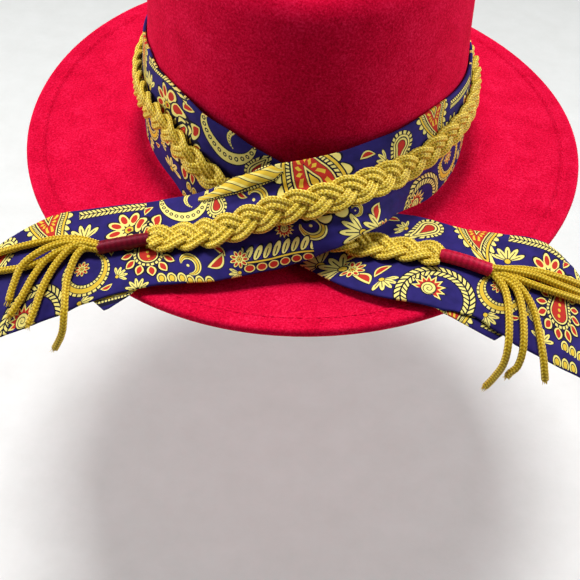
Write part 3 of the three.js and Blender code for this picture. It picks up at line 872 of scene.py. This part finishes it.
def chainMotif():
    x, y, paint = motif("chainMotif")
    r, turn = polar(x, y)
    cream, cover = rope(turn * 11.0, r - 11.0, turn.size().below(2.0))
    return paint(cream=cream, outline=cover)


def featherMotif():
    x, y, paint = motif("featherMotif")
    cream, cover = rope(x, y, x.size().below(14.0))
    return paint(cream=cream, outline=cover)


def goldFoldMotif():
    # gold stripe edged with beads, for the rolled fold
    x, y, paint = motif("goldFoldMotif")
    off = y.size()
    beads = off.between(3.0, 4.0) * (x * (1 / 1.7)).calc("FRACT").below(0.64)
    strokes = ((x + y * 2.2) * (1 / 7.0)).calc("FRACT")
    cream = beads.over(strokes.below(0.3) * off.below(2.5))
    return paint(cream=cream, gold=off.below(2.5) * strokes.below(0.9), outline=off.below(6.0))


# motif, place along the scarf and below its upper edge, turn in degrees, size, 1 or -1 for mirrored
printChart = [
    ("goldFold", 0, 205, 0, 1.0, 1), ("bud", 108, 7.5, 155, 1.0, 1), ("boteh", 84, -1, 176, 1.1, -1),
    ("boteh", 161, 11, 20, 1.75, 1), ("sunDrop", 32.5, 36.5, 8, 1.1, 1),
    ("halfSun", 98.5, 50, -15, 1.25, 1), ("halfSun", 183.5, 30, 161, 0.7, 1),
    ("chain", 94, 55, 8, 1.55, 1), ("ring", 64, 39, 180, 1.0, 1), ("flower", 66, 37, 0, 0.45, 1),
    ("sprig", 65, 20, 12, 1.15, 1), ("feather", 50, 4, 0, 1.25, 1), ("leaf", 32, 7, -40, 0.45, 1),
    ("curlBand", 13, 0, 185, 1.35, 1), ("curlBand", 6, 1, 60, 0.55, 1), ("bud", 215, 9, 5, 0.8, 1),
    ("leaf", 130, 4.5, -91, 0.55, 1), ("sprig", 120, 12, 70, 0.8, 1), ("sprig", 139, 43, 82, 1.25, 1),
    ("flower", 135, 43.5, 0, 0.6, 1), ("leaf", 128.5, 49, -130, 0.75, 1),
    ("leaf", 123, 44.5, -35, 0.6, 1), ("sprig", 121, 51, -132, 0.9, 1), ("sprig", 68, 55, -114, 0.85, 1),
    ("sprig", 38.5, 57, 5, 0.8, 1), ("domes", 24.5, 59.5, 18, 1.0, 1), ("comma", 12.5, 41, -20, 1.05, 1),
    ("leaf", 219, 38.5, 132, 0.75, 1), ("leaf", 217, 31.5, 50, 0.5, -1),
    ("flower", 208.5, 37.5, 0, 0.5, 1), ("branch", 190.5, 42, -8, 1.0, 1),
    ("sprig", 209.5, 44, 123, 0.6, 1), ("comma", 170, 32.5, -135, 1.1, 1),
    ("sprig", 149, 41, 74, 1.3, 1), ("leaf", 138, 33, -40, 0.75, 1), ("leaf", 141, 41, -72, 0.5, -1),
    ("comma", 148, 29, -59, 0.6, 1), ("comma", 193, 11, -69, 1.1, 1), ("leaf", 200, 7, 35, 0.45, 1),
    ("sprig", 48.5, 47, -56, 0.65, 1), ("leaf", 54, 51.5, 100, 0.4, 1), ("comma", 160, 54, 100, 1.2, 1),
    ("domes", 182, 57, 0, 1.0, 1), ("sprig", 203, 57, 180, 0.9, 1), ("leaf", 51, 30, 200, 0.5, 1),
    ("sprig", 14, 24, 150, 0.6, 1), ("flower", 41.5, 19.5, 0, 1.35, 1), ("domes", 21.5, 50.5, 8, 1.0, 1),
    ("domes", 7.5, 49.5, 8, 1.0, 1),
]


def printedCotton():
    mat, tree, shader = newMaterial("printedCotton")
    makers = (
        botehMotif, sunDropMotif, budMotif, halfSunMotif, flowerMotif, ringMotif, curlBandMotif, branchMotif,
        leafMotif, commaMotif, sprigMotif, domesMotif, chainMotif, featherMotif, goldFoldMotif,
    )
    groups = {maker.__name__.replace("Motif", ""): maker() for maker in makers}
    flat = tree.nodes.new("ShaderNodeUVMap")
    flat.uv_map = "flatMap"
    split = tree.nodes.new("ShaderNodeSeparateXYZ")
    tree.links.new(flat.outputs[0], split.inputs[0])
    u, v = (Wire(tree, split.outputs[k]) for k in (0, 1))
    half = printLook["repeat"] / 2
    top = None
    for kind, along, below, turn, size, mirrored in printChart:
        # the print runs from right to left, so both axes are turned round
        du, dv = (u - along).calc("WRAP", half, -half), v - below
        c, s = math.cos(math.radians(turn)) / size, math.sin(math.radians(turn)) / size
        x, y = du * (-c * mirrored) + dv * (-s * mirrored), du * s + dv * -c
        node = tree.nodes.new("ShaderNodeGroup")
        node.node_tree = groups[kind]
        plug(tree, x, node.inputs["X"])
        plug(tree, y, node.inputs["Y"])
        ink = Wire(tree, node.outputs["Ink"])
        top = top + ink * top.below(0.5) if top else ink
    weave = texture(tree, "ShaderNodeTexChecker", Wire(tree, flat.outputs[0]), "Fac", Scale=2.4)
    deep, pale = printLook["ground"]
    colour = ramp(tree, noise(tree, 90, 4, 0.6), (0.35, deep), (0.7, pale))
    for number, ink in enumerate(inks, 1):
        colour = blendColour(tree, top.below(number - 0.5).rest(), colour, printLook[ink])
    finish(tree, shader, colour, bump(tree, weave, 0.12, 0.0002), Roughness=0.8, Specular_IOR_Level=0.18)
    return mat


scarfMat = printedCotton()
makeScarf([makeTuck("scarfTuckLeft"), makeTuck("scarfTuckRight"), makeRoll()])
print("scarf made, length in mm:", round(scarfRun[-1]))


# gold cord: braid, thread wraps and tassels

cordShape = {
    "radius": 1.78,
    "flat": 0.8,  # height of a cord in the braid to its width
    "pair": 1.62,  # a strand is two cords, this far from its middle
    "swing": 4.9,
    "lift": 1.45,
    "pitch": 38.0,
    "gap": 0.1,
    "sides": 20,
    "step": 0.5,
    "stitch": 1.75,  # length of a knitted stitch
    "wales": 3,  # columns of stitches round a cord
    "ease": 22,  # length over which the braid rises to the wraps
}
wrapShape = {"radius": 3.45, "length": 25.5, "thread": 0.6, "sides": 28, "rightFrom": 72, "leftFrom": -75}
# colours painted in the pits (painted shade), on the flanks and on top of the threads (painted highlight),
# colour and strength of their shine
threadLook = {
    "goldCord": {
        "pitShade": (0.24, 0.13, 0.005), "flanks": (0.74, 0.48, 0.02), "topHighlight": (1.0, 0.86, 0.17),
        "tint": (1.0, 0.85, 0.35, 1), "shine": 0.3,
    },
    # the braid's gold is a lighter copy of the cord's gold, painted brighter to make up for the shade the
    # braid sits in
    "goldBraidLitCopy": {
        "pitShade": (0.22, 0.11, 0.004), "flanks": (0.95, 0.69, 0.06), "topHighlight": (1.0, 0.96, 0.38),
        "tint": (1.0, 0.85, 0.35, 1), "shine": 0.4,
    },
    "maroonThread": {
        "pitShade": (0.04, 0.0, 0.002), "flanks": (0.15, 0.001, 0.01), "topHighlight": (0.3, 0.008, 0.03),
        "tint": (1.0, 0.3, 0.45, 1), "shine": 0.5,
    },
    "crimsonThread": {
        "pitShade": (0.16, 0.0, 0.01), "flanks": (0.5, 0.003, 0.03), "topHighlight": (0.8, 0.02, 0.09),
        "tint": (1.0, 0.3, 0.45, 1), "shine": 0.5,
    },
}


def threadFinish(name):
    look = threadLook[name]
    mat, tree, shader = newMaterial(name)
    knit = tree.nodes.new("ShaderNodeAttribute")
    knit.attribute_name = "knit"
    fibres = noise(tree, 1700, 3)
    # the stitch relief paints the pits of the threads darker and their tops lighter: painted shade and
    # painted highlight, with fibre grain on top
    level = Wire(tree, knit.outputs["Fac"]) + (fibres - 0.5) * 0.45
    colour = ramp(tree, level, (0.02, look["pitShade"]), (0.4, look["flanks"]), (0.9, look["topHighlight"]))
    shine = {"Roughness": 0.42, "Specular_IOR_Level": look["shine"], "Specular_Tint": look["tint"]}
    finish(tree, shader, colour, bump(tree, fibres, 0.25, 0.0003), **shine)
    return mat


def braidLine():
    point, out = scarfAt(scarfShares, eased(braidCourse, scarfShares))
    start = np.argmax(point[:, 0] < wrapShape["rightFrom"])
    half = len(point) // 2
    end = half + np.argmax(point[half:, 0] < wrapShape["leftFrom"])
    run = runLength(point)
    ease = cordShape["ease"]
    inBraid = smooth(run, run[start], run[start] + ease) * (1 - smooth(run, run[end] - ease, run[end]))
    plait = cordShape["lift"] + cordShape["radius"] * cordShape["flat"]
    rise = wrapShape["radius"] + (plait - wrapShape["radius"]) * inBraid
    line = point + out * (scarfShape["thick"] / 2 + cordShape["gap"] + rise)[:, None]
    run = runLength(line)
    return line, out, run, run[start], run[end]


lineAt, lineUp, lineRun, braidStart, braidEnd = braidLine()


def onLine(run):
    # place, up and side along the middle of the braid, run may go either way
    place = pick(run, lineRun, lineAt)
    ahead = unit(np.gradient(place, axis=0))
    up = squareTo(pick(run, lineRun, lineUp), ahead)
    return place, up, np.cross(ahead, up)


def knitRings(path, up, radius, flat, phase, ends):
    # cord whose surface is raised in V-shaped stitches
    run = runLength(path)
    ahead = unit(np.gradient(path, axis=0))
    up = squareTo(up, ahead)
    turn = np.linspace(0, fullTurn, cordShape["sides"], endpoint=False)
    leg = (turn / fullTurn * cordShape["wales"] * 2) % 2
    slant = np.where(leg < 1, leg, 2 - leg)
    plump = 0.6 - 0.4 * np.cos(fullTurn * slant)
    stitch = run[:, None] / cordShape["stitch"] + 0.9 * slant + phase
    raised = plump * (0.5 + 0.5 * np.cos(fullTurn * stitch))
    closing = [smooth(r, -0.5, 0.9) if wanted else 1 for r, wanted in zip((run, run[-1] - run), ends)]
    r = radius * (0.9 + 0.13 * raised) * np.broadcast_to(closing[0] * closing[1], run.shape)[:, None]
    # raised also sets the thread colour: painted shade in the pits, painted highlight on the stitch tops
    return ringsRound(path, up, np.cross(ahead, up), r * flat, r, turn), raised


def makeBraid():
    run = np.arange(braidStart, braidEnd, cordShape["step"])
    place, up, side = onLine(run)
    for strand in range(3):
        swing = fullTurn * ((run - braidStart) / cordShape["pitch"] + strand / 3)[:, None]
        sideways, upwards = cordShape["swing"] * np.sin(swing), cordShape["lift"] * np.sin(2 * swing)
        middle = place + side * sideways + up * upwards
        beside = unit(np.cross(np.gradient(middle, axis=0), up))
        for cord, sign in (("a", -1), ("b", 1)):
            path = middle + beside * sign * cordShape["pair"]
            phase = 0.3 * strand + 0.25 * sign
            rings, raised = knitRings(path, up, cordShape["radius"], cordShape["flat"], phase, (True, True))
            name, node = f"braidCord{strand + 1}{cord}", f"braid_strand_{strand + 1}"
            makeTube(name, rings, braidLitCopyMat, [node], knit=raised)


def makeWrap(name, start, heading, material, node):
    pitch = wrapShape["thread"]
    along = np.arange(-0.6, wrapShape["length"], pitch / 5)
    place, up, side = onLine(start + heading * along)
    turn = np.linspace(0, fullTurn, wrapShape["sides"], endpoint=False)
    ridge = np.abs(np.sin(math.pi * (along[:, None] / pitch + turn / fullTurn)))
    ends = smooth(along, -1.2, 0.4) * smooth(along[-1] - along, -0.6, 1)
    r = wrapShape["radius"] * (0.945 + 0.055 * ridge) * (0.8 + 0.2 * ends[:, None])
    # thread colour: painted shade between the threads and painted highlight on their tops, plus an uneven
    # tone along the wrap
    knit = 0.15 + 0.4 * ridge + 0.1 * np.sin(along * 2.3)[:, None]
    makeTube(name, ringsRound(place, up, side, r, r, turn), material, [node], knit=knit)


# length from the wrap, share of the scarf's width, height above it, fall below its edge
tasselRows = {
    "right": [
        [(10, 0.41, 2.8, 0), (20, 0.36, 2.4, 0), (37, 0.3, 2.4, 0), (52, 0.21, 2.4, 0), (62, 0.12, 2.4, 0)],
        [(10, 0.44, 4, 0), (22, 0.4, 2.8, 0), (37, 0.37, 2.4, 0), (51, 0.3, 2.4, 0), (61, 0.22, 2.4, 0)],
        [(9, 0.48, 2.8, 0), (26, 0.48, 2.4, 0), (40, 0.43, 2.4, 0), (51, 0.37, 2.4, 0), (59, 0.32, 2.4, 0)],
        [(9, 0.62, 3, 0), (18, 0.98, 3.4, 0), (20, 1.08, 1.5, 8), (18, 1.09, 0, 19), (15, 1.09, 0, 28.5)],
        [(14, 0.58, 3.4, 0), (25, 0.98, 3.4, 0), (26, 1.08, 1.5, 7), (24, 1.09, 0, 12), (23.5, 1.09, 0, 15)],
        [(10, 0.51, 3.4, 0), (24, 0.66, 3, 0), (34, 0.98, 3.4, 0), (38, 1.07, 1.8, 3), (40, 1.09, 0.6, 6)],
    ],
    "left": [
        [(10, 0.34, 2.6, 0), (22, 0.28, 2.4, 0), (38, 0.22, 2.4, 0), (55, 0.14, 2.4, 0), (63, 0.1, 2.4, 0)],
        [(12, 0.39, 5.5, 0), (24, 0.37, 5.6, 0), (38, 0.43, 4.6, 0), (44, 0.58, 3.2, 0), (48, 0.73, 2.4, 0)],
        [(12, 0.43, 2.6, 0), (24, 0.45, 2.4, 0), (38, 0.44, 2.4, 0), (53, 0.36, 2.4, 0), (61, 0.31, 2.4, 0)],
        [(11, 0.43, 5, 0), (25, 0.45, 3.4, 0), (33, 0.56, 2.6, 0), (41, 0.74, 2.4, 0), (48, 0.87, 2.4, 0)],
        [(9, 0.42, 5.6, 0), (19, 0.5, 3.6, 0), (28, 0.69, 2.6, 0), (33, 0.88, 2.8, 0), (37, 1.01, 3.2, 0)],
        [(8, 0.48, 4.4, 0), (15, 0.68, 3, 0), (17, 0.98, 3.4, 0), (20, 1.08, 1.5, 5), (26, 1.09, 0, 13.5)],
    ],
}
tasselShape = {"radius": 1.95, "inWrap": 1.5, "rootRing": 1.5, "step": 0.45, "lookUp": (0.05, -0.6, 0.8)}
frayShape = {"fibres": 16, "length": (0.8, 2.6), "spread": (0.2, 1.5), "splay": (1, 1.7), "thick": 0.22}


def makeTassel(hand, start, heading):
    begin = start + heading * (wrapShape["length"] - tasselShape["inWrap"])
    place, up, side = (a[0] for a in onLine(begin + heading * np.array([0.0, 2.0])))
    for k, rows in enumerate(tasselRows[hand]):
        angle = fullTurn * (k + 0.5) / 6
        points = [place + tasselShape["rootRing"] * (up * math.sin(angle) + side * math.cos(angle))]
        for reach, across, height, fall in rows:
            passed = np.interp(begin + heading * (reach + tasselShape["inWrap"]), lineRun, scarfShares)
            point, out = scarfAt(passed, across)
            points.append(point + out * (scarfShape["thick"] / 2 + height) - np.array([0, 0, fall]))
        rough = curveThrough(points, np.linspace(0, 1, 200))
        run = runLength(rough)
        path = pick(np.arange(0, run[-1], tasselShape["step"]), run, rough)
        ahead = unit(np.gradient(path, axis=0))
        lift = squareTo(np.array(tasselShape["lookUp"]), ahead)
        rings, raised = knitRings(path, lift, tasselShape["radius"], 1, 0.17 * k, (False, True))
        name = f"{hand}{k + 1}"
        makeTube(f"tassel.{name}", rings, goldMat, [f"tassel_{hand}"], knit=raised)
        makeFray(f"fray.{name}", path[-1], ahead[-1], lift[-1])


def makeFray(name, tip, ahead, lift):
    # loose fibres at the cut end of a cord
    side = np.cross(ahead, lift)
    turn = np.arange(3) * fullTurn / 3
    thick = frayShape["thick"] * np.array([[1.0], [0.85], [0.65], [0.4]])
    points, faces = [], []
    for _ in range(frayShape["fibres"]):
        angle = rng.uniform(0, fullTurn)
        out = rng.uniform(*frayShape["spread"])
        length = rng.uniform(*frayShape["length"])
        away = (lift * math.sin(angle) + side * math.cos(angle)) * out
        end = tip + ahead * length + away * rng.uniform(*frayShape["splay"])
        bends = [tip - ahead + away * 0.8, tip + ahead * length / 2 + away, end]
        line = curveThrough(bends, np.linspace(0, 1, 4))
        up, beside = np.tile(lift, (4, 1)), np.tile(side, (4, 1))
        faces += [[i + len(points) for i in f] for f in tubeFaces(4, 3)]
        points += ringsRound(line, up, beside, thick, thick, turn).reshape(-1, 3).tolist()
    faces = facingOut(np.array(points), faces)
    fray = makeMesh(name, points, faces, goldMat, knit=np.full(len(points), 0.5))
    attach(fray, "root")


goldMat, braidLitCopyMat, maroonMat, crimsonMat = (threadFinish(name) for name in threadLook)
makeBraid()
makeWrap("threadWrapRight", braidStart, -1, crimsonMat, "thread_wrap_right")
makeWrap("threadWrapLeft", braidEnd, 1, maroonMat, "thread_wrap_left")
makeTassel("right", braidStart, -1)
makeTassel("left", braidEnd, 1)
print("braid, wraps and tassels made")

bpy.context.view_layer.update()
